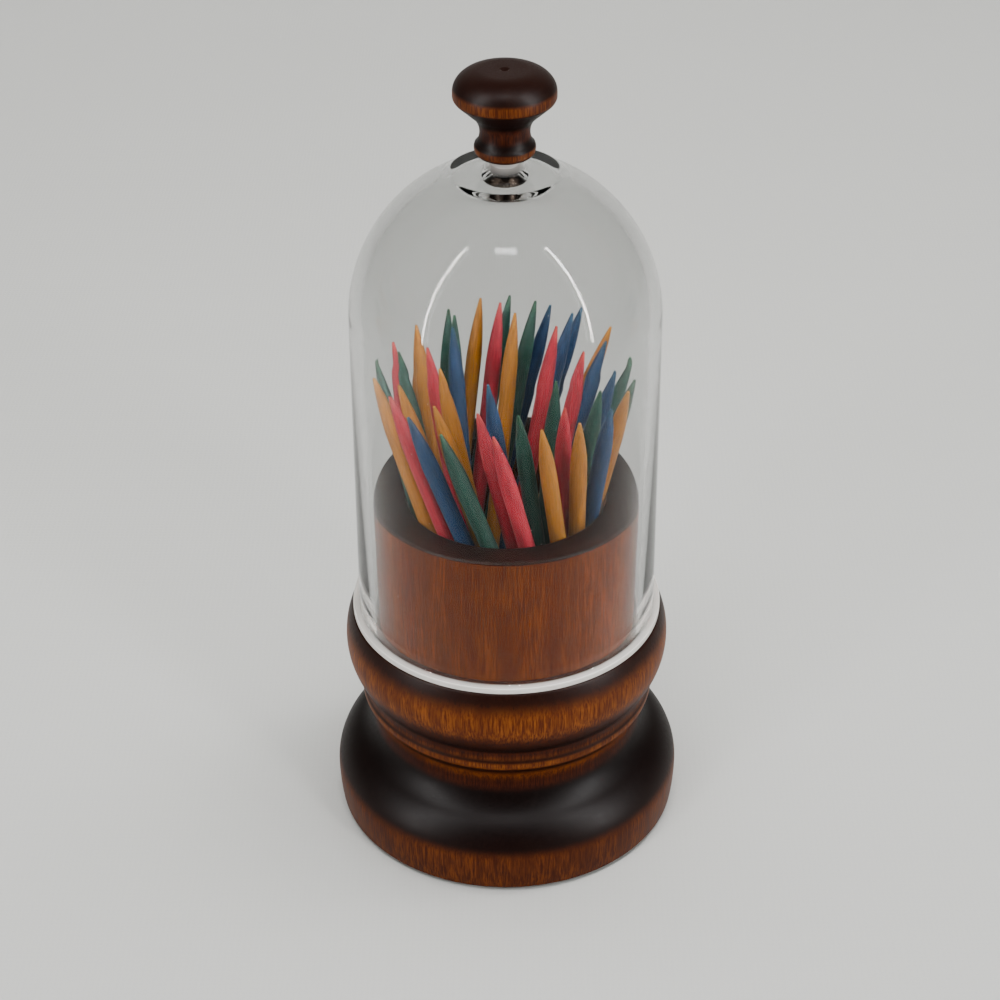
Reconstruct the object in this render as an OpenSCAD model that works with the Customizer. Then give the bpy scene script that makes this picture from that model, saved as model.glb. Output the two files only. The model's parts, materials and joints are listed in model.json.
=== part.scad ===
// Turned wooden toothpick holder: a beaded base with a cup, filled with dyed toothpicks,
// under a clear dome that lifts off by a turned knob. Everything round is turned about Z.
// The resting face lies at z = 0. Lengths are in millimetres.

/* [Foot] */
// Widest diameter of the foot
foot_d = 45.2; // [44:0.2:47]
// Height of the foot's widest line
foot_belly_h = 4.8; // [4:0.2:5.6]
// How far the foot draws in from its widest line to its resting face
foot_draw_in = 0.4; // [0.2:0.1:1]
// Radius of the rounding over the top of the foot
foot_shoulder_r = 6; // [5:0.2:7]
// Chamfer round the resting face
foot_chamfer = 0.6; // [0.2:0.1:1]

/* [Neck and beads] */
// Radius of the hollow sweep that narrows the base between the foot and the small bead
sweep_r = 4.6; // [4.2:0.1:5.2]
// Largest diameter of the small bead
small_bead_d = 37.9; // [36.9:0.2:38.9]
// Radius of the small bead
small_bead_r = 1.6; // [1.2:0.1:2]
// Height of the middle of the small bead
small_bead_h = 17.9; // [17.2:0.1:18.6]
// Radius of the shallow cove between the beads
cove_r = 2.2; // [1.8:0.1:2.8]
// Largest diameter of the upper bead
upper_bead_d = 41.5; // [40.5:0.2:42.5]
// Radius of the upper bead
upper_bead_r = 9.5; // [8:0.25:11]
// Height of the upper bead's widest line
upper_bead_h = 25.7; // [25:0.1:26.4]
// Height of the ledge that the dome stands on
ledge_h = 30; // [28.5:0.5:31.5]

/* [Cup] */
// Outside diameter of the cup
cup_d = 33.6; // [32:0.2:35]
// Height of the cup's rim
cup_h = 47.7; // [45:0.5:50]
// Rounding of the rim's outer edge
rim_round = 0.4; // [0.2:0.1:0.8]
// How far the dished top of the cup falls from the rim to the bore
dish_fall = 0.7; // [0.4:0.1:1.2]
// Diameter of the bore that holds the toothpicks
bore_d = 25.2; // [24.6:0.2:26.4]
// Thickness of the wood left under the bore
bore_floor_h = 3; // [2.5:0.25:4]

/* [Dome] */
// Height of the dome from the ledge to the top of its pad
dome_h = 60.6; // [58:0.5:64]
// Thickness of the dome's wall
dome_wall = 1.5; // [1.2:0.1:1.8]
// Room between the cup and the dome at the ledge
dome_room = 0.6; // [0.5:0.05:1]
// How far the wall leans in from the ledge to the crown
dome_draft = 0.28; // [0.1:0.02:0.4]
// Radius of the crown's arc
crown_r = 19.83; // [19.3:0.1:21]
// How far the dome's foot rim stands out
rim_w = 0.8; // [0.4:0.05:0.9]
// Height of the dome's foot rim
rim_h = 0.8; // [0.5:0.05:1.2]
// Diameter of the flat pad on the crown
pad_d = 13.04; // [12:0.2:14]
// Height of the pad above the crown at its edge
pad_h = 0.5; // [0.3:0.05:0.7]
// Thickness of the plastic at the pad
pad_wall = 1.7; // [1.6:0.1:1.9]
// Diameter of the boss under the knob
boss_d = 6.6; // [6.2:0.1:7.2]
// Height of the boss under the knob
boss_h = 2; // [1.5:0.1:2.5]

/* [Knob] */
// Height of the knob
knob_h = 10.2; // [9.4:0.2:11]
// Largest diameter of the knob's head
knob_d = 11.84; // [11:0.2:13]
// Diameter of the knob's neck
knob_neck_d = 5.8; // [5.4:0.1:6.4]
// Largest diameter of the knob's foot
knob_foot_d = 7.1; // [6.8:0.1:7.6]
// Diameter of the centre mark in the top of the knob
centre_mark_d = 1.1; // [0.8:0.1:1.4]
// Depth of the centre mark
centre_mark_deep = 0.4; // [0.2:0.05:0.6]

/* [Screw] */
// Diameter of the screw's shank
screw_d = 2.9; // [2.5:0.1:3.1]
// Length of the screw from the flat of its head to its point
screw_l = 11.5; // [10.5:0.25:12]
// Diameter of the countersunk head
screw_head_d = 5; // [4.6:0.1:5.4]
// How far the head's raised underside bulges
screw_crown_h = 0.6; // [0.4:0.05:0.8]
// Width of the slot in the head
slot_w = 0.8; // [0.6:0.05:1]
// Depth of the slot in the head
slot_deep = 0.8; // [0.5:0.05:0.9]
// Running clearance round the screw, in the dome and in the knob's pilot hole
screw_room = 0.05; // [0.02:0.01:0.1]

/* [Toothpicks] */
// Length of a toothpick
pick_l = 65; // [63:0.5:66]
// Thickness of a toothpick
pick_d = 2; // [1.8:0.05:2.2]
// Length of the taper at each end
pick_taper = 8.5; // [7:0.5:10]
// Thickness at the very point
pick_point_d = 0.3; // [0.2:0.05:0.6]
// How much the longest and shortest toothpicks differ from the usual length
pick_length_vary = 0.8; // [0:0.1:1]
// Room kept between a leaning toothpick and the edge of the bore, and under its point
pick_room = 0.08; // [0.04:0.01:0.12]
// Least room kept between the outermost tips and the dome
tip_room = 0.7; // [0.5:0.1:1.2]

/* [Hidden] */
$fn = 96;
over = 1;

// Foot and beads
foot_r = foot_d / 2;
foot_side_r = (foot_belly_h * foot_belly_h + foot_draw_in * foot_draw_in) / (2 * foot_draw_in);
foot_base_r = foot_r - foot_draw_in;
shoulder_at = [foot_r - foot_shoulder_r, foot_belly_h];
small_bead_at = [small_bead_d / 2 - small_bead_r, small_bead_h];
upper_bead_at = [upper_bead_d / 2 - upper_bead_r, upper_bead_h];
sweep_at = tangent_centre(shoulder_at, foot_shoulder_r, small_bead_at, small_bead_r, sweep_r);
cove_at = tangent_centre(small_bead_at, small_bead_r, upper_bead_at, upper_bead_r, cove_r);
neck_r = sweep_at.x - sweep_r;

// Cup
cup_r = cup_d / 2;
bore_r = bore_d / 2;
dish_h = cup_h - dish_fall;

// Dome
dome_foot_r = cup_r + dome_room + dome_wall;
dome_top_r = dome_foot_r - dome_draft;
dome_top_h = ledge_h + dome_h;
crown_x = dome_top_r - crown_r;
pad_r = pad_d / 2;
crown_cut_h = dome_top_h - pad_h;
crown_h = crown_cut_h - sqrt(crown_r * crown_r - pow(pad_r - crown_x, 2));
pad_under_h = dome_top_h - pad_wall;

// Knob and screw
knob_base_h = dome_top_h + boss_h;
screw_r = screw_d / 2;
screw_hole_r = screw_r + screw_room;
head_r = screw_head_d / 2;
head_flat_h = pad_under_h;
head_cone_h = head_r - screw_r;
screw_point_l = screw_d;
knob_r = knob_d / 2;
knob_neck_r = knob_neck_d / 2;
knob_foot_r = knob_foot_d / 2;

// The knob's outline, as shares of its height and of the widths that it joins
foot_belly_share = 0.09;
neck_height_share = 0.28;
neck_rise_share = 0.19;
flare_share = 0.263;
head_edge_share = 0.08;
head_shoulder_share = 0.745;
head_top_width_share = 0.566;
// How far the head's underside leans out, in degrees from upright
flare_angle = 47;

// Toothpicks stand in rings, from the outside in, each twisted like a bundle in a cup. For each
// ring, in thicknesses of a toothpick: how far its points, and its lean on the bore's edge, lie
// inside those of the outermost ring, and how far apart its toothpicks lean.
foot_inset_shares = [0, 1.36, 3.19];
lean_inset_shares = [0, 1.17, 2.57];
pitch_shares = [1.8, 2.05, 2.5];
// Each ring's twist, where it starts, and where its waves of small differences start, in degrees
ring_twist_angles = [80.5, 90, 94];
ring_start_angles = [123, 210, 190];
ring_wave_angles = [20, 115, 240];
// Dyes, ring by ring: red, yellow, blue or green
pick_colours = ["bgygyrgyrbgryybyggyb", "ygyyrgrgbbbgrg", "brybgrry"];
// How far the waves change the twist and the pitch, how far up a toothpick its angle is held,
// and the waves' steps in degrees from one toothpick to the next
twist_vary_share = 0.1;
pitch_vary_share = 0.15;
hold_share = 0.48;
twist_step_angle = 100;
pitch_step_angle = 60;
length_step_angle = 61;

pick_r = pick_d / 2;
point_r = pick_point_d / 2;
free_bore_r = bore_r - pick_r - pick_room;
free_tip_r = dome_top_r - dome_wall - tip_room;
lean_rise = dish_h - bore_floor_h;
taper_steps = 5;
// Where the dome is too narrow for the fan, every ring twists less, in the same proportion
twist_ease = min(1, turn_for(pick_l, free_bore_r, free_bore_r, free_tip_r) / ring_twist_angles[0]);

function ring_foot_r(k) = free_bore_r - foot_inset_shares[k] * pick_d;
function ring_lean_r(k) = free_bore_r - lean_inset_shares[k] * pick_d;
function ring_count(k) = floor(2 * PI * ring_lean_r(k) / (pitch_shares[k] * pick_d));
picks = [for (k = [0 : len(pitch_shares) - 1]) for (i = [0 : ring_count(k) - 1]) [k, i]];

WOOD = "#5a2610";
CLEAR = [0.85, 0.87, 0.86, 0.35];
STEEL = "#2a2420";
DYES = [["r", "red", "#c83c4b"], ["y", "yellow", "#c38719"],
  ["b", "blue", "#1e4b6e"], ["g", "green", "#285f50"]];

function dye_of(n) = let(k = picks[n].x, i = picks[n].y, set = pick_colours[k])
  [for (d = DYES) if (d[0] == set[i % len(set)]) d][0];
function pick_name(n) = str("toothpick_", dye_of(n)[1], n < 9 ? "_0" : "_", n + 1);

// Centre of a circle of radius r that touches two circles from the side away from the axis
function tangent_centre(a, ra, b, rb, r) =
  let(d = norm(b - a), u = (b - a) / d,
      along = (pow(ra + r, 2) - pow(rb + r, 2) + d * d) / (2 * d),
      away = sqrt(pow(ra + r, 2) - along * along))
  a + u * along + [u.y, -u.x] * away;

// Points along a stretch of an ellipse
function arc(c, rx, ry, from, to, steps = 14) =
  [for (i = [0 : steps]) let(t = from + (to - from) * i / steps) [c.x + rx * cos(t), c.y + ry * sin(t)]];

// A rectangle from the axis outwards
module slab(r, low, high) {
  translate([0, low]) square([r, high - low]);
}

// Fills the corner between two circles with a hollow arc that touches both
module hollow(a, b, c, r) {
  difference() {
    polygon([[0, a.y], a, c, b, [0, b.y]]);
    translate(c) circle(r);
  }
}

module foot_outline() {
  intersection() {
    translate([foot_r - foot_side_r, foot_belly_h]) circle(foot_side_r);
    slab(foot_r, 0, foot_belly_h);
    polygon([[0, 0], [foot_base_r - foot_chamfer, 0],
      [foot_base_r + foot_belly_h - foot_chamfer, foot_belly_h], [0, foot_belly_h]]);
  }
  slab(shoulder_at.x, foot_belly_h, foot_belly_h + foot_shoulder_r);
  intersection() {
    translate(shoulder_at) circle(foot_shoulder_r);
    slab(foot_r, foot_belly_h, foot_belly_h + foot_shoulder_r);
  }
  hollow(shoulder_at, small_bead_at, sweep_at, sweep_r);
}

module bead_outline() {
  slab(neck_r, foot_belly_h, small_bead_h);
  translate(small_bead_at) circle(small_bead_r);
  hollow(small_bead_at, upper_bead_at, cove_at, cove_r);
  intersection() {
    translate(upper_bead_at) circle(upper_bead_r);
    slab(upper_bead_d, small_bead_h, ledge_h);
  }
}

module cup_outline() {
  slab(cup_r, upper_bead_at.y, cup_h - rim_round);
  slab(cup_r - rim_round, upper_bead_at.y, cup_h);
  translate([cup_r - rim_round, cup_h - rim_round]) circle(rim_round);
}

module base() {
  color(WOOD) rotate_extrude() difference() {
    union() {
      foot_outline();
      bead_outline();
      cup_outline();
    }
    slab(bore_r, bore_floor_h, cup_h + over);
    polygon([[0, dish_h], [bore_r, dish_h], [cup_r - rim_round, cup_h], [cup_r - rim_round, cup_h + over],
      [0, cup_h + over]]);
    translate([-upper_bead_d, -over]) square([upper_bead_d, cup_h + 2 * over]);
  }
}

// One skin of the dome: the wall's line with its draft, then the crown's arc, cut flat at a height.
// inset is how far the skin lies inside the outer one.
module dome_skin(inset, low, flat) {
  intersection() {
    translate([crown_x, crown_h]) circle(crown_r - inset);
    slab(dome_foot_r, crown_h, flat);
  }
  polygon([[0, low], [dome_foot_r - inset, low], [dome_top_r - inset, crown_h], [0, crown_h]]);
}

module dome() {
  color(CLEAR) rotate_extrude() difference() {
    union() {
      dome_skin(0, ledge_h, crown_cut_h);
      slab(dome_foot_r + rim_w, ledge_h, ledge_h + rim_h);
      slab(pad_r, pad_under_h, dome_top_h);
      slab(boss_d / 2, dome_top_h, knob_base_h);
    }
    dome_skin(dome_wall, ledge_h, pad_under_h);
    slab(screw_hole_r, pad_under_h - over, knob_base_h + over);
    polygon([[0, pad_under_h - over], [head_r + screw_room, pad_under_h - over],
      [head_r + screw_room, pad_under_h], [screw_hole_r, pad_under_h + head_cone_h],
      [0, pad_under_h + head_cone_h]]);
  }
}

// Outline of the knob from its foot up, with its foot at height zero: the lip of the foot, the neck's
// hollow, the flare under the head, the head's side and its rounded top
function knob_outline() =
  let(belly = foot_belly_share * knob_h, lip = knob_foot_r - knob_neck_r,
      neck_h = neck_height_share * knob_h, flare_r = flare_share * knob_h,
      edge_r = head_edge_share * knob_h, lean = flare_angle,
      flare_end = [knob_neck_r + flare_r * (1 - cos(lean)), neck_h + flare_r * sin(lean)],
      edge_start_x = knob_r - edge_r * (1 - cos(lean)),
      edge_h = flare_end.y + (edge_start_x - flare_end.x) / tan(lean) + edge_r * sin(lean),
      top_rx = head_top_width_share * knob_r,
      shoulder_h = max(head_shoulder_share * knob_h, edge_h))
  concat(
    [[0, 0]],
    arc([knob_foot_r - lip, belly], lip, belly, -90, 30, 8),
    arc([knob_neck_r + 2 * lip, neck_h], 2 * lip, neck_rise_share * knob_h, 222, 180, 7),
    arc([knob_neck_r + flare_r, neck_h], flare_r, flare_r, 174, 180 - lean, 9),
    arc([knob_r - edge_r, edge_h], edge_r, edge_r, -lean, 0, 7),
    arc([knob_r - top_rx, shoulder_h], top_rx, knob_h - shoulder_h, 4, 90, 16),
    [[0, knob_h]]);

module knob() {
  color(WOOD) translate([0, 0, knob_base_h]) rotate_extrude() difference() {
    polygon(knob_outline());
    slab(screw_hole_r, -over, head_flat_h + screw_l + screw_room - knob_base_h);
    polygon([[0, knob_h - centre_mark_deep], [centre_mark_d / 2, knob_h], [centre_mark_d / 2, knob_h + over],
      [0, knob_h + over]]);
  }
}

// Countersunk screw, driven upwards from inside the dome, with a raised slotted head
module knob_screw() {
  bulge_r = (head_r * head_r + screw_crown_h * screw_crown_h) / (2 * screw_crown_h);
  color(STEEL) translate([0, 0, head_flat_h]) difference() {
    rotate_extrude() {
      polygon([[0, 0], [head_r, 0], [screw_r, head_cone_h], [screw_r, screw_l - screw_point_l],
        [0, screw_l]]);
      intersection() {
        translate([0, bulge_r - screw_crown_h]) circle(bulge_r);
        slab(head_r, -screw_crown_h, 0);
      }
    }
    translate([-head_r - over, -slot_w / 2, -screw_crown_h - over])
      cube([2 * head_r + 2 * over, slot_w, slot_deep + over]);
  }
}

// Where a toothpick of length l crosses from its foot, at the start angle, to its lean on the
// bore's edge, a turn further on; along is the length of it per step from foot to lean.
function lean_of(foot, lean, turn) = [lean * cos(turn) - foot, lean * sin(turn)];
function tip_at(l, foot, lean, turn) =
  let(run = lean_of(foot, lean, turn), along = l / norm([run.x, run.y, lean_rise])) [foot, 0] + run * along;

// The turn, by halving, at which the tip comes to a wanted distance from the axis
function turn_for(l, foot, lean, tip, low = 0, high = 180, steps = 24) =
  let(mid = (low + high) / 2)
  steps == 0 ? mid
  : norm(tip_at(l, foot, lean, mid)) < tip ? turn_for(l, foot, lean, tip, mid, high, steps - 1)
  : turn_for(l, foot, lean, tip, low, mid, steps - 1);

module toothpick(n) {
  k = picks[n].x;
  i = picks[n].y;
  wave = ring_wave_angles[k];
  l = pick_l + pick_length_vary * sin(length_step_angle * n);
  foot = ring_foot_r(k);
  lean = ring_lean_r(k);
  turn = twist_ease * ring_twist_angles[k]
    * (1 - twist_vary_share * (1 + sin(twist_step_angle * i + wave)) / 2);
  pitch = 360 / ring_count(k);
  start = ring_start_angles[k] + turn * hold_share
    + pitch * (i + pitch_vary_share * sin(pitch_step_angle * i + 2 * wave));
  run = lean_of(foot, lean, -turn);
  tilt = atan(norm(run) / lean_rise);
  taper = [for (s = [0 : taper_steps]) [pick_r - (pick_r - point_r) * pow(1 - s / taper_steps, 1.8),
    pick_taper * s / taper_steps]];
  color(dye_of(n)[2])
    rotate([0, 0, start])
    translate([foot, 0, bore_floor_h + point_r * sin(tilt) + pick_room])
    rotate([0, tilt, atan2(run.y, run.x)])
    rotate_extrude($fn = 32) polygon(concat(
      [[0, 0]],
      taper,
      [for (s = [0 : taper_steps]) [taper[taper_steps - s].x, l - taper[taper_steps - s].y]],
      [[0, l]]));
}

base();
dome();
knob();
knob_screw();
for (n = [0 : len(picks) - 1]) toothpick(n);
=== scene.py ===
"""Looks of a turned wooden toothpick holder with a clear dome.

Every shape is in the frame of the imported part: metres, Z up along the turning axis, resting face at zero.
Outlines of turned pieces are written in millimetres, as (radius, height).
"""

import json
import math

import bpy
import numpy as np
from mathutils import Matrix, Vector


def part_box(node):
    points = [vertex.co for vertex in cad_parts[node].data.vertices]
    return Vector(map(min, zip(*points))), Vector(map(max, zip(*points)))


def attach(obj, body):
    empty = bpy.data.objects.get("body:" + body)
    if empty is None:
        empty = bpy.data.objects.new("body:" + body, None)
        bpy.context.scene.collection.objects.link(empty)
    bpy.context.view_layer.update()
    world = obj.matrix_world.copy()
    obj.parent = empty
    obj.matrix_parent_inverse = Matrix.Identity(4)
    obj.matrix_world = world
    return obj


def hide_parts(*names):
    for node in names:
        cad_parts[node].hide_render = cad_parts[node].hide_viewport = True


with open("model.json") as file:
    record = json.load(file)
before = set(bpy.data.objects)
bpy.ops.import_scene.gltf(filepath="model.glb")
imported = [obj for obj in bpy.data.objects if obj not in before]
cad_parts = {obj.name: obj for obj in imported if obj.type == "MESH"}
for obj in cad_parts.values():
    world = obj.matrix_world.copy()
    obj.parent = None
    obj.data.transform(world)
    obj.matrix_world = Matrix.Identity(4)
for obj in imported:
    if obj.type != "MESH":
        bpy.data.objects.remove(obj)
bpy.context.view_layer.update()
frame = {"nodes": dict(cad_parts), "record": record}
bpy.ops.object.select_all(action="DESELECT")

MM = 0.001
BODY_OF = {n: body for body, nodes in frame["record"]["behaviour"]["bodies"].items() for n in nodes}

# The camera stands where the photograph was taken from
CAMERA_PLACE = Vector((1.47, -233.1, 201.2)) * MM
CAMERA_PITCH = math.radians(33.77)
CAMERA_SHIFT = -0.0179
CAMERA_LENS = 80.64
CAMERA_SENSOR = 36

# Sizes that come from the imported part, in millimetres
FOOT_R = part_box("base")[1].x / MM
CUP_TOP_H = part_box("base")[1].z / MM
DOME_FOOT_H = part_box("dome")[0].z / MM
KNOB_BASE_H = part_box("knob")[0].z / MM
KNOB_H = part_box("knob")[1].z / MM - KNOB_BASE_H
KNOB_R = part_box("knob")[1].x / MM

# Room left where two pieces touch, so that their faces don't lie in one another
TOUCH = 0.03

# The turned base
BELLY_H = 4.8
FOOT_DRAW_IN = 0.4
FOOT_CHAMFER = 0.6
FOOT_EASE = 0.15
SHOULDER_R = 6
SWEEP_R = 4.6
SMALL_BEAD_R = 1.6
SMALL_BEAD_AT = (17.35, 17.9)
COVE_R = 2.2
UPPER_BEAD_R = 9.5
UPPER_BEAD_AT = (11.25, 25.7)
LEDGE_SHORT_TURN = 2.5
LEDGE_EASE = 0.3
CUP_R = 16.8
CUP_FOOT_EASE = 0.12
RIM_ROUND = 0.4
DISH_FALL = 0.7
BORE_R = 12.6
BORE_EASE = 0.25
BORE_FLOOR_H = 3
BASE_STEPS = 160

# How deeply the base is darkened, by height: foot, sweep, small bead, cove, upper bead; then all the cup.
# This is stain pooled in the hollows together with painted shade: the foot, the hollow sweep and the cove
# under the upper bead are darkened where shade falls, and the cup for the shade under the dome
STAIN_AND_SHADE_HEIGHTS = (6, 9, 14.2, 15.6, 18.2, 19.4, 22.6, 24)
STAIN_AND_SHADE_SHARES = (0.6, 1, 1, 0.15, 0.15, 1, 1, 0)
CUP_PAINTED_SHADE = 0.85

# The dome
WALL = 1.5
WALL_R = 18.9
WALL_DRAFT = 0.28
CROWN_R = 19.83
CROWN_H = 71.84
RIM_W = 0.8
RIM_H = 0.8
RIM_FOOT_EASE = 0.12
RIM_TOP_EASE = 0.2
# The painted white glow along the rim's outer line stands in for light led out through the plastic; this is
# its width
PAINTED_GLOW_W = 0.13
PAD_R = 6.42
PAD_EDGE_W = 1.3
PAD_EASE = 0.28
PAD_WALL = 1.7
UNDER_PAD_EASE = 0.4
BOSS_R = 3.3
BOSS_H = 2
BOSS_SLOPE_H = 0.85
BOSS_EASE = 0.6
COLLAR_R = 1.62
COLLAR_LIP = 0.02
SCREW_GRIP = 0.01
DOME_STEPS = 192

# The knob
KNOB_NECK_R = 2.9
KNOB_FOOT_R = 3.55
KNOB_BELLY_H = 0.92
KNOB_NECK_H = 2.86
KNOB_NECK_RISE = 1.94
KNOB_FLARE_R = 2.68
KNOB_FLARE_LEAN = 47
KNOB_EDGE_R = 0.82
KNOB_SHOULDER_H = 7.6
KNOB_TOP_W = 3.35
CENTRE_MARK_R = 0.55
CENTRE_MARK_DEEP = 0.4
CENTRE_MARK_EASE = 0.12
KNOB_STEPS = 96

# How deeply the knob is stained all over, and darkened more from this deep to this deep in its neck, where
# stain pools and shade is painted into the hollow
KNOB_STAIN = 0.45
NECK_STAIN_AND_SHADE_FROM = 0.25
NECK_STAIN_AND_SHADE_FULL = 1.1

# The screw
HEAD_R = 2.5
HEAD_CROWN_H = 0.6
HEAD_LIP = 0.25
SHANK_R = 1.45
SCREW_L = 11.5
SLOT_W = 0.8
SLOT_DEEP = 0.8
SCREW_STEPS = 48

# The toothpicks
PICK_R = 1
PICK_POINT_R = 0.15
PICK_TAPER = 8.5
PICK_TAPER_CURVE = 1.8
PICK_TAPER_STEPS = 8
PICK_L = 65
PICK_WORN_L = 2.2
PICK_STEPS = 20

# Each dye, in the wood and on the worn points, as it looks on a screen
DYES = {
    "red": ((132, 12, 30), (146, 50, 42)),
    "yellow": ((132, 80, 2), (148, 96, 18)),
    "blue": ((4, 36, 66), (22, 58, 76)),
    "green": ((5, 48, 38), (30, 66, 42)),
}

# How far each toothpick's grain is moved on from the last one's, in metres
GRAIN_SHIFT = np.array((0.037, 0.011, 0))


def arc(centre, radius, start, end, steps=14, rise=None):
    """Points along a round stretch, from start to end in degrees; rise is an ellipse's upright radius."""
    turns = [math.radians(start + (end - start) * i / steps) for i in range(steps + 1)]
    return [(centre[0] + radius * math.cos(t), centre[1] + (rise or radius) * math.sin(t)) for t in turns]


def towards(start, end):
    """The direction from one centre to another, in degrees."""
    return math.degrees(math.atan2(end[1] - start[1], end[0] - start[0]))


def touching(low, low_r, high, high_r, radius):
    """Centre of the hollow's circle that touches two rounds, one above the other, from outside."""
    apart = math.dist(low, high)
    way = ((high[0] - low[0]) / apart, (high[1] - low[1]) / apart)
    along = ((low_r + radius) ** 2 - (high_r + radius) ** 2 + apart ** 2) / (2 * apart)
    away = math.sqrt((low_r + radius) ** 2 - along ** 2)
    return (low[0] + way[0] * along + way[1] * away, low[1] + way[1] * along - way[0] * away)


def eased(outline, steps=5):
    """Rounds the corners that carry a third value, which says how far from the corner the rounding starts."""
    out = []
    for i, point in enumerate(outline):
        corner = np.array(point[:2], dtype=float)
        if len(point) == 2:
            out.append(tuple(corner))
            continue
        ends = []
        for other in (outline[i - 1], outline[(i + 1) % len(outline)]):
            way = np.array(other[:2]) - corner
            ends.append(corner + way / np.hypot(*way) * point[2])
        for k in range(steps + 1):
            t = k / steps
            out.append(tuple(ends[0] * (1 - t) ** 2 + corner * 2 * t * (1 - t) + ends[1] * t ** 2))
    return out


def turned(name, outline, steps):
    """A piece made on the lathe: an outline spun about the axis."""
    bpy.ops.mesh.primitive_plane_add(size=MM)
    piece = bpy.context.object
    piece.name = name
    piece.data.name = name
    bpy.ops.object.mode_set(mode="EDIT")
    bpy.ops.mesh.merge(type="CENTER")
    bpy.ops.transform.translate(value=(outline[0][0] * MM, 0, outline[0][1] * MM))
    for (r, h), (next_r, next_h) in zip(outline, outline[1:]):
        step = ((next_r - r) * MM, 0, (next_h - h) * MM)
        bpy.ops.mesh.extrude_vertices_move(TRANSFORM_OT_translate={"value": step})
    bpy.ops.mesh.select_all(action="SELECT")
    bpy.ops.mesh.spin(steps=steps, angle=2 * math.pi, center=(0, 0, 0), axis=(0, 0, 1))
    bpy.ops.mesh.select_all(action="SELECT")
    bpy.ops.mesh.remove_doubles(threshold=0.001 * MM)
    bpy.ops.mesh.normals_make_consistent(inside=False)
    bpy.ops.object.mode_set(mode="OBJECT")
    bpy.ops.object.shade_smooth_by_angle(angle=math.radians(40))
    return piece


def mark(piece, name, share_at):
    """Gives each point of a turned piece a share from 0 to 1, worked out from its radius and height."""
    places = np.array([v.co for v in piece.data.vertices]) / MM
    shares = share_at(np.hypot(places[:, 0], places[:, 1]), places[:, 2])
    piece.data.attributes.new(name, "FLOAT", "POINT").data.foreach_set("value", shares.astype(np.float32))


def dress(piece, node, material):
    """Puts a finished piece in its CAD node's place, on its body, with its material."""
    piece.data.materials.clear()
    piece.data.materials.append(material)
    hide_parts(node)
    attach(piece, BODY_OF[node])


def base_outline():
    """The base from the middle of its resting face, up its outside, over the rim and down the bore."""
    side_r = (BELLY_H ** 2 + FOOT_DRAW_IN ** 2) / (2 * FOOT_DRAW_IN)
    side = (FOOT_R - side_r, BELLY_H)
    base_turn = math.degrees(math.asin((BELLY_H - FOOT_CHAMFER) / side_r))
    shoulder = (FOOT_R - SHOULDER_R, BELLY_H)
    sweep = touching(shoulder, SHOULDER_R, SMALL_BEAD_AT, SMALL_BEAD_R, SWEEP_R)
    cove = touching(SMALL_BEAD_AT, SMALL_BEAD_R, UPPER_BEAD_AT, UPPER_BEAD_R, COVE_R)
    sweep_turn = towards(shoulder, sweep)
    bead_turn = towards(sweep, SMALL_BEAD_AT)
    cove_turn = towards(SMALL_BEAD_AT, cove)
    upper_turn = towards(cove, UPPER_BEAD_AT)
    ledge_turn = math.degrees(math.asin((DOME_FOOT_H - UPPER_BEAD_AT[1]) / UPPER_BEAD_R))
    ledge_r = UPPER_BEAD_AT[0] + UPPER_BEAD_R * math.cos(math.radians(ledge_turn))
    last_turn = ledge_turn - LEDGE_SHORT_TURN
    return eased([(0, 0), (FOOT_R - FOOT_DRAW_IN - FOOT_CHAMFER, 0, FOOT_EASE)]
                 + arc(side, side_r, -base_turn, 0, steps=10)
                 + arc(shoulder, SHOULDER_R, 0, sweep_turn, steps=20)[1:]
                 + arc(sweep, SWEEP_R, sweep_turn + 180, bead_turn, steps=26)[1:]
                 + arc(SMALL_BEAD_AT, SMALL_BEAD_R, bead_turn - 180, cove_turn)[1:]
                 + arc(cove, COVE_R, cove_turn + 180, upper_turn)[1:]
                 + arc(UPPER_BEAD_AT, UPPER_BEAD_R, upper_turn - 180, last_turn, steps=24)[1:]
                 + [(ledge_r, DOME_FOOT_H, LEDGE_EASE), (CUP_R, DOME_FOOT_H, CUP_FOOT_EASE)]
                 + arc((CUP_R - RIM_ROUND, CUP_TOP_H - RIM_ROUND), RIM_ROUND, 0, 90, steps=6)
                 + [(BORE_R, CUP_TOP_H - DISH_FALL, BORE_EASE), (BORE_R, BORE_FLOOR_H), (0, BORE_FLOOR_H)])


def base_stain_and_shade(radius, height):
    """How deeply the base is darkened by stain and painted shade: by height up to the ledge, then all the cup
    alike, for the painted shade under the dome.
    """
    return np.where(height > DOME_FOOT_H + TOUCH, CUP_PAINTED_SHADE, np.interp(height, STAIN_AND_SHADE_HEIGHTS, STAIN_AND_SHADE_SHARES))


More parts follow.
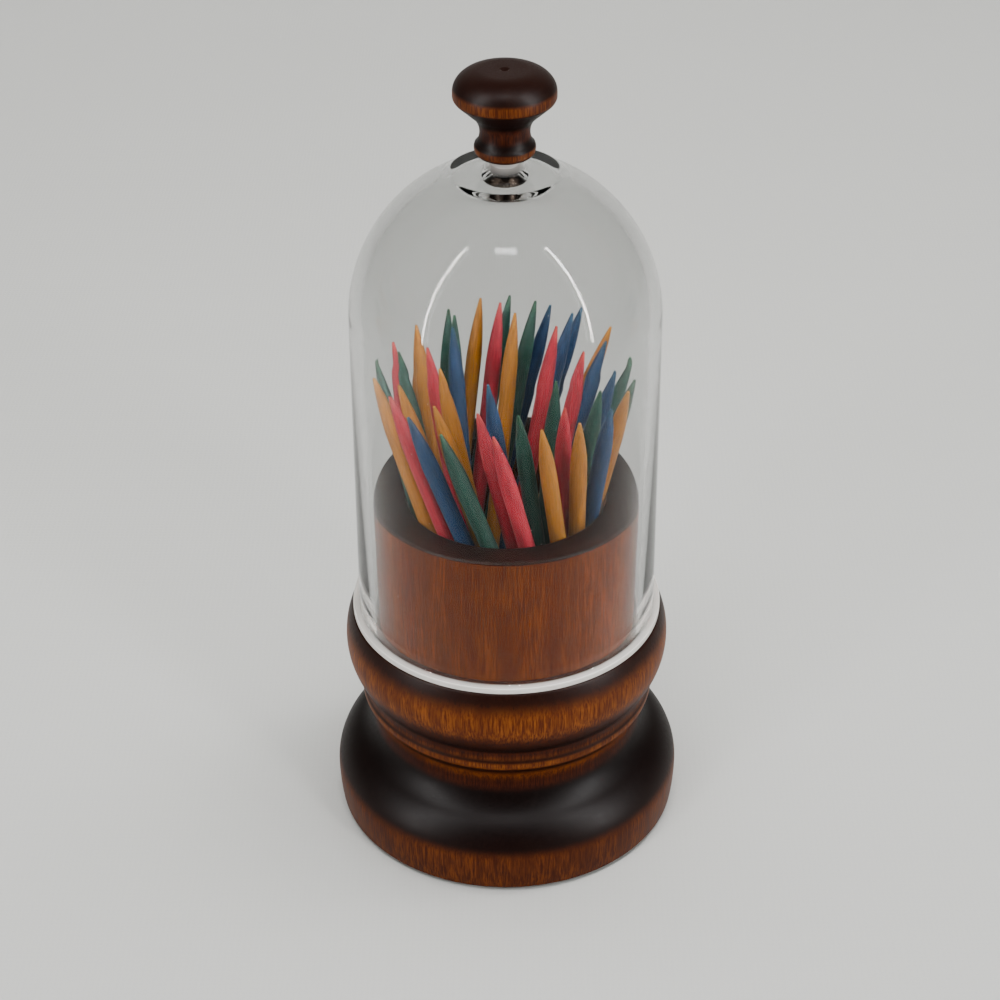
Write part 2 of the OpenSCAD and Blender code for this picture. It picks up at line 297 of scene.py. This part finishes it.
def dome_outline():
    """The dome from the inside of its foot, up its outside to the screw's hole, and back down inside."""
    foot = DOME_FOOT_H + TOUCH
    rim_top = DOME_FOOT_H + RIM_H
    top_r = WALL_R - WALL_DRAFT
    crown = (top_r - CROWN_R, CROWN_H)
    pad_turn = math.degrees(math.acos((PAD_R + PAD_EDGE_W - crown[0]) / CROWN_R))
    pad_top = KNOB_BASE_H - BOSS_H
    boss_top = KNOB_BASE_H - TOUCH
    under = pad_top - PAD_WALL
    under_turn = math.degrees(math.asin((under - CROWN_H) / (CROWN_R - WALL)))
    rim_wall_r = WALL_R - WALL_DRAFT * RIM_H / (CROWN_H - DOME_FOOT_H)
    hole_r = SHANK_R - SCREW_GRIP
    outside = arc(crown, CROWN_R, 0, pad_turn, steps=40)
    inside = arc(crown, CROWN_R - WALL, under_turn, 0, steps=40)
    return eased([(WALL_R - WALL, foot), (WALL_R + RIM_W, foot, RIM_FOOT_EASE),
                  (WALL_R + RIM_W, rim_top, RIM_TOP_EASE), (rim_wall_r, rim_top, RIM_TOP_EASE)]
                 + outside[:-1]
                 + [outside[-1] + (PAD_EASE,), (PAD_R, pad_top, PAD_EASE), (BOSS_R, pad_top, BOSS_EASE),
                    (COLLAR_R, pad_top + BOSS_SLOPE_H), (COLLAR_R, boss_top), (hole_r, boss_top),
                    (hole_r, under + HEAD_R - SHANK_R), (HEAD_R - SCREW_GRIP, under)]
                 + [inside[0] + (UNDER_PAD_EASE,)] + inside[1:]
                 + [(WALL_R - WALL, foot)])


def painted_glow_edge(radius, height):
    """Where the dome is painted white to stand in for light: a painted highlight on the collar of its boss
    and a painted glow along the outermost line of its rim.
    """
    collar_h = KNOB_BASE_H - BOSS_H + BOSS_SLOPE_H - COLLAR_LIP
    return np.where(height > collar_h, 1.0, radius > WALL_R + RIM_W - PAINTED_GLOW_W)


def knob_outline():
    """The knob from the middle of its foot, over its lip, neck, flare and head, to its centre mark."""
    lip = KNOB_FOOT_R - KNOB_NECK_R
    lean = math.radians(KNOB_FLARE_LEAN)
    neck_h = KNOB_BASE_H + KNOB_NECK_H
    flare_end_r = KNOB_NECK_R + KNOB_FLARE_R * (1 - math.cos(lean))
    edge_start_r = KNOB_R - KNOB_EDGE_R * (1 - math.cos(lean))
    edge_h = (neck_h + KNOB_FLARE_R * math.sin(lean) + (edge_start_r - flare_end_r) / math.tan(lean)
              + KNOB_EDGE_R * math.sin(lean))
    shoulder_h = max(KNOB_BASE_H + KNOB_SHOULDER_H, edge_h)
    top = KNOB_BASE_H + KNOB_H
    foot = (KNOB_FOOT_R - lip, KNOB_BASE_H + KNOB_BELLY_H)
    neck = (KNOB_NECK_R + 2 * lip, neck_h)
    flare = (KNOB_NECK_R + KNOB_FLARE_R, neck_h)
    head = (KNOB_R - KNOB_TOP_W, shoulder_h)
    return eased([(0, KNOB_BASE_H)]
                 + arc(foot, lip, -90, 30, steps=12, rise=KNOB_BELLY_H)
                 + arc(neck, 2 * lip, 222, 180, steps=10, rise=KNOB_NECK_RISE)
                 + arc(flare, KNOB_FLARE_R, 174, 180 - KNOB_FLARE_LEAN, steps=12)
                 + arc((KNOB_R - KNOB_EDGE_R, edge_h), KNOB_EDGE_R, -KNOB_FLARE_LEAN, 0, steps=10)
                 + arc(head, KNOB_TOP_W, 4, 90, steps=24, rise=top - shoulder_h)
                 + [(CENTRE_MARK_R, top, CENTRE_MARK_EASE), (0, top - CENTRE_MARK_DEEP)])


def knob_stain_and_shade(radius, height):
    """How deeply the knob is darkened: stained all over, and more where its neck lies in from a line between
    foot and head, as stain in the hollow and painted shade.
    """
    crest_h = (KNOB_BASE_H + KNOB_BELLY_H, KNOB_BASE_H + KNOB_SHOULDER_H)
    depth = np.interp(height, crest_h, (KNOB_FOOT_R, KNOB_R)) - radius
    share = np.clip((depth - NECK_STAIN_AND_SHADE_FROM) / (NECK_STAIN_AND_SHADE_FULL - NECK_STAIN_AND_SHADE_FROM), 0, 1)
    between = (height > crest_h[0]) & (height < crest_h[1])
    return np.maximum(share * share * (3 - 2 * share) * between, KNOB_STAIN)


def screw_outline():
    """The screw from the middle of its raised head, over the head's cone, to its point."""
    flat_h = KNOB_BASE_H - BOSS_H - PAD_WALL
    head_h = flat_h - HEAD_LIP
    crown_h = HEAD_CROWN_H - HEAD_LIP
    bulge_r = (HEAD_R ** 2 + crown_h ** 2) / (2 * crown_h)
    edge_turn = math.degrees(math.asin(HEAD_R / bulge_r))
    bulge = (0, head_h + bulge_r - crown_h)
    return (arc(bulge, bulge_r, -90, edge_turn - 90, steps=10)
            + [(SHANK_R, head_h + HEAD_R - SHANK_R), (SHANK_R, flat_h + SCREW_L - 2 * SHANK_R),
               (0, flat_h + SCREW_L)])


def slotted(screw):
    """Cuts the driver's slot across the head."""
    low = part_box("knob_screw")[0].z
    bpy.ops.mesh.primitive_cube_add(size=1, location=(0, 0, low))
    cutter = bpy.context.object
    cutter.scale = (3 * HEAD_R * MM, SLOT_W * MM, 2 * SLOT_DEEP * MM)
    bpy.ops.object.select_all(action="DESELECT")
    screw.select_set(True)
    bpy.context.view_layer.objects.active = screw
    bpy.ops.object.modifier_add(type="BOOLEAN")
    cut = screw.modifiers[-1]
    cut.object = cutter
    bpy.ops.object.modifier_apply(modifier=cut.name)
    bpy.data.objects.remove(cutter)


def pick_outline():
    """A toothpick, pointed at both ends, standing on its point."""
    shares = [s / PICK_TAPER_STEPS for s in range(PICK_TAPER_STEPS + 1)]
    taper = [(PICK_R - (PICK_R - PICK_POINT_R) * (1 - share) ** PICK_TAPER_CURVE, PICK_TAPER * share)
             for share in shares]
    return ([(0, 0)] + taper + [(PICK_R, PICK_L / 2)]
            + [(r, PICK_L - h) for r, h in reversed(taper)] + [(0, PICK_L)])


def lie_of(node):
    """Where a toothpick's CAD node lies: its lower point, its direction and its length."""
    places = np.array([v.co for v in frame["nodes"][node].data.vertices])
    way = np.linalg.svd(places - places.mean(0), full_matrices=False)[2][0]
    way *= np.sign(way[2])
    reach = (places - places.mean(0)) @ way
    foot = places.mean(0) + way * reach.min()
    return Vector(foot), Vector(way), float(reach.max() - reach.min())


def new_material(name):
    """An empty material: its tree, its Principled shader and its output."""
    material = bpy.data.materials.new(name)
    material.use_nodes = True
    tree = material.node_tree
    return material, tree, tree.nodes["Principled BSDF"], tree.nodes["Material Output"]


def put(tree, kind, inputs=None, **settings):
    """Adds a shader node, with its settings by name and its inputs' values, or the sockets that feed them."""
    made = tree.nodes.new("ShaderNode" + kind)
    for name, value in settings.items():
        setattr(made, name, value)
    for name, value in (inputs or {}).items():
        if isinstance(value, bpy.types.NodeSocket):
            tree.links.new(value, made.inputs[name])
        else:
            made.inputs[name].default_value = value
    return made


def reckon(tree, operation, a, b=0.0, c=0.0):
    """The result of a sum on values."""
    return put(tree, "Math", {0: a, 1: b, 2: c}, operation=operation).outputs[0]


def mixed(tree, share, a, b, blend="MIX"):
    """The colour between a and b, by share."""
    return put(tree, "Mix", {0: share, 6: a, 7: b}, data_type="RGBA", blend_type=blend).outputs[2]


def ramped(tree, value, low, high, to_low=0.0, to_high=1.0):
    """A value carried from one range to another, smoothly, and kept within it."""
    return put(tree, "MapRange", {0: value, 1: low, 2: high, 3: to_low, 4: to_high},
               interpolation_type="SMOOTHSTEP").outputs[0]


def noise(tree, at, scale, detail, roughness=0.5):
    """Soft noise on a place."""
    return put(tree, "TexNoise", {"Vector": at, "Scale": scale, "Detail": detail,
                                  "Roughness": roughness}).outputs[0]


def bumped(tree, shader, height, strength, distance_mm):
    """Presses a height into the shader's surface."""
    bump = put(tree, "Bump", {"Strength": strength, "Distance": distance_mm * MM, "Height": height})
    tree.links.new(bump.outputs[0], shader.inputs["Normal"])


def rgb(red, green, blue):
    """A colour given as it looks on a screen, from 0 to 255, as the shader's linear values."""
    def linear(c):
        c /= 255
        return c / 12.92 if c <= 0.04045 else ((c + 0.055) / 1.055) ** 2.4
    return (linear(red), linear(green), linear(blue), 1)


def shade(colour, times, more=0.0):
    """A colour made lighter or darker."""
    return tuple(min(1, c * times + more) for c in colour[:3]) + (1,)


def new_group(name, inputs, outputs):
    """A node group with named inputs and outputs, given as (name, socket kind, usual value)."""
    group = bpy.data.node_groups.new(name, "ShaderNodeTree")
    for label, kind, usual in inputs:
        socket = group.interface.new_socket(label, in_out="INPUT", socket_type="NodeSocket" + kind)
        if usual is not None:
            socket.default_value = usual
    for label, kind in outputs:
        group.interface.new_socket(label, in_out="OUTPUT", socket_type="NodeSocket" + kind)
    return group, group.nodes.new("NodeGroupInput").outputs, group.nodes.new("NodeGroupOutput").inputs


def fibres_group():
    """Wood's fibres and pores, drawn out along the third axis of the place that it is given."""
    group, given, gives = new_group(
        "Wood fibres",
        [("Place", "Vector", None), ("Fibre Width", "Float", 0.4), ("Fibre Length", "Float", 12.0),
         ("Pore Share", "Float", 0.5)],
        [("Fibres", "Float"), ("Pores", "Float"), ("Figure", "Float")])
    across = reckon(group, "DIVIDE", 1 / MM, given["Fibre Width"])
    along = reckon(group, "DIVIDE", 1 / MM, given["Fibre Length"])
    stretch = put(group, "CombineXYZ", {0: across, 1: across, 2: along}).outputs[0]
    drawn = put(group, "VectorMath", {0: given["Place"], 1: stretch}, operation="MULTIPLY").outputs[0]
    fibres = noise(group, drawn, scale=1.0, detail=3.0, roughness=0.65)
    pores = noise(group, drawn, scale=1.7, detail=1.0)
    open_from = reckon(group, "SUBTRACT", 0.86, reckon(group, "MULTIPLY", given["Pore Share"], 0.3))
    pore = ramped(group, pores, low=open_from, high=reckon(group, "ADD", open_from, 0.1))
    figure = noise(group, drawn, scale=0.13, detail=2.0)
    group.links.new(fibres, gives["Fibres"])
    group.links.new(pore, gives["Pores"])
    group.links.new(figure, gives["Figure"])
    return group


def stained_wood(fibres_in_wood):
    """Dark stained hardwood: fine streaks along the blank, darker on end grain, and darker where it is
    stained and where shade is painted into the hollows, under the beads and on faces that look down.
    """
    material, tree, shader, _ = new_material("stained_wood")
    at = put(tree, "TexCoord")
    grain = put(tree, "Group", {"Place": at.outputs["Object"], "Fibre Width": 0.21, "Fibre Length": 3.4,
                                "Pore Share": 0.55}, node_tree=fibres_in_wood).outputs
    dark, mid, pale, across = rgb(40, 14, 4), rgb(84, 35, 9), rgb(148, 80, 24), rgb(28, 7, 3)
    stain_and_shade_tint = (0.2, 0.1, 0.06, 1)
    ground = mixed(tree, ramped(tree, grain["Fibres"], low=0.36, high=0.68), mid, pale)
    ground = mixed(tree, ramped(tree, grain["Figure"], low=0.4, high=0.66, to_high=0.55), ground, mid)
    ground = mixed(tree, reckon(tree, "MULTIPLY", grain["Pores"], 0.7), ground, dark)
    # The fibres stand upright, so they are cut across on faces that look up, and less so down; the darkening
    # of faces that look down is partly painted shade, under the beads
    up = put(tree, "SeparateXYZ", {0: at.outputs["Normal"]}).outputs[2]
    ragged = reckon(tree, "MULTIPLY_ADD", grain["Fibres"], 0.3, -0.15)
    cut_across_and_shaded = reckon(tree, "MAXIMUM", up, reckon(tree, "MULTIPLY_ADD", up, -1.0, -0.22))
    end_grain_and_shade = ramped(tree, reckon(tree, "ADD", cut_across_and_shaded, ragged), low=0.08, high=0.36, to_high=0.97)
    ground = mixed(tree, end_grain_and_shade, ground, across)
    # Darkens the wood by stain, and by painted shade in the hollows, on the foot, under the beads and on the
    # cup inside the dome
    stain_and_shade = put(tree, "Attribute", attribute_name="stain_and_shade").outputs["Fac"]
    ground = mixed(tree, reckon(tree, "MULTIPLY", stain_and_shade, 0.92), ground, stain_and_shade_tint, "MULTIPLY")
    tree.links.new(ground, shader.inputs["Base Color"])
    varnish = ramped(tree, grain["Fibres"], low=0.25, high=0.75, to_low=0.38, to_high=0.5)
    tree.links.new(varnish, shader.inputs["Roughness"])
    shader.inputs["Specular IOR Level"].default_value = 0.07
    ripple = noise(tree, at.outputs["Object"], scale=5200.0, detail=2.0)
    height = reckon(tree, "SUBTRACT", ripple, reckon(tree, "MULTIPLY", grain["Pores"], 0.8))
    bumped(tree, shader, height, strength=0.4, distance_mm=0.02)
    return material


def clear_plastic():
    """Clear moulded plastic with a little dust, with a painted white glow round its foot that stands in for
    light led through the wall, and a painted highlight on its boss's collar.
    """
    material, tree, shader, output = new_material("clear_plastic")
    shader.inputs["Base Color"].default_value = (0.77, 0.775, 0.77, 1)
    shader.inputs["Transmission Weight"].default_value = 1
    shader.inputs["IOR"].default_value = 1.3
    shader.inputs["Specular Tint"].default_value = (0.35, 0.35, 0.35, 1)
    at = put(tree, "TexCoord").outputs["Object"]
    specks = put(tree, "TexVoronoi", {"Vector": at, "Scale": 380.0, "Randomness": 1.0}).outputs["Distance"]
    dust = ramped(tree, specks, low=0.0, high=0.05, to_low=0.35, to_high=0.0)
    tree.links.new(dust, shader.inputs["Roughness"])
    # A white rough skin on the rim's outer line and the boss's collar: painted glow and painted highlight,
    # standing in for light
    ground = put(tree, "BsdfPrincipled", {"Base Color": (0.88, 0.84, 0.79, 1), "Roughness": 0.45}).outputs[0]
    edge = put(tree, "Attribute", attribute_name="painted_glow_edge").outputs["Fac"]
    painted_glow_share = reckon(tree, "MULTIPLY", edge, 0.75)
    skin = put(tree, "MixShader", {0: painted_glow_share, 1: shader.outputs[0], 2: ground}).outputs[0]
    in_shadow = put(tree, "LightPath").outputs["Is Shadow Ray"]
    clear = put(tree, "BsdfTransparent", {"Color": (0.93, 0.935, 0.93, 1)}).outputs[0]
    both = put(tree, "MixShader", {0: in_shadow, 1: skin, 2: clear}).outputs[0]
    tree.links.new(both, output.inputs["Surface"])
    return material


def dyed_wood(name, colour, tip, fibres_in_wood):
    """A toothpick's wood, dyed through, matt, with pale fibres, and paler at its points."""
    material, tree, shader, _ = new_material(name)
    blank = put(tree, "Attribute", attribute_name="blank").outputs["Vector"]
    grain = put(tree, "Group", {"Place": blank, "Fibre Width": 0.16, "Fibre Length": 5.0,
                                "Pore Share": 0.5}, node_tree=fibres_in_wood).outputs
    pale = shade(colour, times=1.3, more=0.004)
    deep = shade(colour, times=0.66)
    ground = mixed(tree, ramped(tree, grain["Fibres"], low=0.3, high=0.72), deep, pale)
    lot = noise(tree, blank, scale=0.02 / MM, detail=0.0)
    ground = mixed(tree, ramped(tree, lot, low=0.35, high=0.65, to_high=0.35), ground, colour)
    ground = mixed(tree, reckon(tree, "MULTIPLY", grain["Pores"], 0.5), ground, deep)
    height = put(tree, "SeparateXYZ", {0: blank}).outputs[2]
    half = PICK_L / 2 * MM
    from_middle = reckon(tree, "ABSOLUTE", reckon(tree, "SUBTRACT", height, half))
    worn = ramped(tree, from_middle, low=half - PICK_WORN_L * MM, high=half, to_high=0.75)
    ground = mixed(tree, worn, ground, tip)
    tree.links.new(ground, shader.inputs["Base Color"])
    shader.inputs["Roughness"].default_value = 0.62
    shader.inputs["Specular IOR Level"].default_value = 0.25
    bumped(tree, shader, grain["Fibres"], strength=0.5, distance_mm=0.03)
    return material


def bronzed_steel():
    """Dark bronzed steel with a faint mottle."""
    material, tree, shader, _ = new_material("bronzed_steel")
    at = put(tree, "TexCoord").outputs["Object"]
    mottle = noise(tree, at, scale=900.0, detail=3.0)
    tree.links.new(mixed(tree, mottle, rgb(16, 12, 10), rgb(40, 33, 28)), shader.inputs["Base Color"])
    polish = ramped(tree, mottle, low=0.3, high=0.7, to_low=0.22, to_high=0.36)
    tree.links.new(polish, shader.inputs["Roughness"])
    shader.inputs["Metallic"].default_value = 1
    return material


def cloth():
    """The pale cloth that the holder stands on: a very fine weave with soft unevenness."""
    material, tree, shader, _ = new_material("pale_cloth")
    at = put(tree, "TexCoord").outputs["Object"]
    weave = [put(tree, "TexWave", {"Vector": at, "Scale": 420.0, "Distortion": 0.6, "Detail": 1.0},
                 bands_direction=way).outputs[1] for way in "XY"]
    threads = reckon(tree, "MULTIPLY", weave[0], weave[1])
    soft = noise(tree, at, scale=9.0, detail=2.0)
    ground = mixed(tree, soft, rgb(208, 208, 204), rgb(214, 214, 210))
    ground = mixed(tree, reckon(tree, "MULTIPLY", threads, 0.04), ground, rgb(150, 150, 146))
    tree.links.new(ground, shader.inputs["Base Color"])
    shader.inputs["Roughness"].default_value = 0.85
    bumped(tree, shader, threads, strength=0.15, distance_mm=0.1)
    return material


def cloth_sweep():
    """The floor and the backdrop in one sheet: flat under the holder, then a curve up to the wall."""
    wide, near, curve_at, curve_r, wall_h, steps = 1.6, -0.9, 0.3, 0.2, 1.4, 24
    bpy.ops.mesh.primitive_plane_add(size=1)
    sheet = bpy.context.object
    sheet.name = "cloth_sweep"
    bpy.ops.object.mode_set(mode="EDIT")
    bpy.ops.mesh.delete(type="ONLY_FACE")
    bpy.ops.object.mode_set(mode="OBJECT")
    for v in sheet.data.vertices:
        v.co = (wide * (1 if v.co.x > 0 else -1), near if v.co.y < 0 else curve_at, 0)
    for edge in sheet.data.edges:
        ends = [sheet.data.vertices[i] for i in edge.vertices]
        edge.select = all(v.co.y > 0 for v in ends)
    for v in sheet.data.vertices:
        v.select = v.co.y > 0
    bpy.ops.object.mode_set(mode="EDIT")
    bpy.ops.mesh.select_mode(type="EDGE")
    turns = [math.radians(90 * i / steps) for i in range(steps + 1)]
    path = [(curve_at + curve_r * math.sin(t), curve_r * (1 - math.cos(t))) for t in turns]
    path.append((curve_at + curve_r, wall_h))
    for (y, z), (next_y, next_z) in zip(path, path[1:]):
        step = (0, next_y - y, next_z - z)
        bpy.ops.mesh.extrude_edges_move(TRANSFORM_OT_translate={"value": step})
    bpy.ops.mesh.select_mode(type="VERT")
    bpy.ops.mesh.select_all(action="SELECT")
    bpy.ops.mesh.edge_face_add()
    bpy.ops.object.mode_set(mode="OBJECT")
    sheet.data.materials.append(cloth())
    bpy.ops.object.shade_smooth()


def lamp(name, place, wide, high, watts, highlight=False, aim=(0, 0, 0.05)):
    """A flat lamp: a soft one that leaves no highlight, or a thin one that shows only as a highlight."""
    light = bpy.data.lights.new(name, "AREA")
    light.shape = "RECTANGLE"
    light.size = wide
    light.size_y = high
    light.energy = watts
    made = bpy.data.objects.new(name, light)
    made.location = place
    made.rotation_euler = (Vector(aim) - Vector(place)).to_track_quat("-Z", "Y").to_euler()
    made.visible_camera = False
    made.visible_diffuse = not highlight
    made.visible_transmission = highlight
    made.visible_glossy = highlight
    bpy.context.scene.collection.objects.link(made)


def light_the_scene():
    """A pale room, darker towards the viewer, with four soft lamps and three for highlights."""
    world = bpy.data.worlds.new("soft_room")
    bpy.context.scene.world = world
    world.use_nodes = True
    tree = world.node_tree
    rays = put(tree, "LightPath").outputs
    seen = reckon(tree, "MAXIMUM", rays["Is Camera Ray"], rays["Is Transmission Ray"])
    way = put(tree, "SeparateXYZ", {0: put(tree, "TexCoord").outputs["Generated"]}).outputs[1]
    room = ramped(tree, way, low=-0.2, high=0.8, to_low=0.1, to_high=0.6)
    bright = reckon(tree, "ADD", reckon(tree, "MULTIPLY", reckon(tree, "SUBTRACT", 1.0, seen), room),
                    reckon(tree, "MULTIPLY", seen, 0.55))
    ground = tree.nodes["Background"]
    ground.inputs["Color"].default_value = (0.98, 1.0, 0.98, 1)
    tree.links.new(bright, ground.inputs["Strength"])
    lamp("left_tube", (-0.28, -0.17, 0.235), wide=0.014, high=0.47, watts=4.0, highlight=True)
    lamp("right_tube", (0.29, -0.155, 0.235), wide=0.014, high=0.47, watts=5.0, highlight=True)
    lamp("top_tube", (0.005, -0.165, 0.47), wide=0.11, high=0.035, watts=1.1, highlight=True)
    lamp("top_strip", (0.04, -0.06, 0.5), wide=0.5, high=0.08, watts=2.2)
    lamp("right_fill", (0.23, -0.27, 0.26), wide=0.05, high=0.2, watts=0.6)
    lamp("left_fill", (-0.23, -0.27, 0.26), wide=0.05, high=0.2, watts=0.38)
    lamp("back_wash", (0, 0.2, 0.62), wide=0.9, high=0.3, watts=2.6, aim=(0, 0.42, 0.1))


def place_camera():
    """Stands the camera in its place and aims it."""
    camera = bpy.data.cameras.new("photo_camera")
    camera.lens = CAMERA_LENS
    camera.sensor_width = CAMERA_SENSOR
    camera.clip_start = 10 * MM
    camera.shift_x = CAMERA_SHIFT
    made = bpy.data.objects.new("photo_camera", camera)
    tilt = Matrix.Rotation(math.pi / 2 - CAMERA_PITCH, 4, "X")
    made.matrix_world = Matrix.Translation(CAMERA_PLACE) @ tilt
    bpy.context.scene.collection.objects.link(made)
    bpy.context.scene.camera = made


def make_holder(fibres_in_wood):
    """The base, dome, knob and screw."""
    wood = stained_wood(fibres_in_wood)
    base = turned("turned_base", base_outline(), BASE_STEPS)
    # The base is darkened by stain and painted shade, by height
    mark(base, "stain_and_shade", base_stain_and_shade)
    dress(base, "base", wood)
    knob = turned("turned_knob", knob_outline(), KNOB_STEPS)
    # The knob is stained, with painted shade in its neck
    mark(knob, "stain_and_shade", knob_stain_and_shade)
    dress(knob, "knob", wood)
    dome = turned("clear_dome", dome_outline(), DOME_STEPS)
    # The dome's painted glow on its rim and painted highlight on its collar
    mark(dome, "painted_glow_edge", painted_glow_edge)
    dress(dome, "dome", clear_plastic())
    screw = turned("crown_screw", screw_outline(), SCREW_STEPS)
    slotted(screw)
    dress(screw, "knob_screw", bronzed_steel())


def fill_with_toothpicks(fibres_in_wood):
    """One toothpick turned, then a copy laid along each toothpick's CAD node, in its own dye."""
    woods = {dye: dyed_wood("toothpick_" + dye, rgb(*wood), rgb(*tip), fibres_in_wood)
             for dye, (wood, tip) in DYES.items()}
    pattern = turned("toothpick_pattern", pick_outline(), PICK_STEPS)
    in_place = np.array([v.co for v in pattern.data.vertices])
    nodes = sorted(n for n in frame["nodes"] if n.startswith("toothpick_"))
    for i, node in enumerate(nodes):
        foot, way, length = lie_of(node)
        mesh = pattern.data.copy()
        mesh.name = node
        blank = mesh.attributes.new("blank", "FLOAT_VECTOR", "POINT")
        blank.data.foreach_set("vector", (in_place + GRAIN_SHIFT * i).ravel())
        turn = way.to_track_quat("Z", "Y").to_matrix().to_4x4()
        mesh.transform(Matrix.Translation(foot) @ turn @ Matrix.Scale(length / (PICK_L * MM), 4, (0, 0, 1)))
        piece = bpy.data.objects.new("dyed_" + node, mesh)
        bpy.context.scene.collection.objects.link(piece)
        dress(piece, node, woods[node.split("_")[1]])
    bpy.data.objects.remove(pattern)


place_camera()
light_the_scene()
cloth_sweep()
wood_fibres = fibres_group()
make_holder(wood_fibres)
fill_with_toothpicks(wood_fibres)
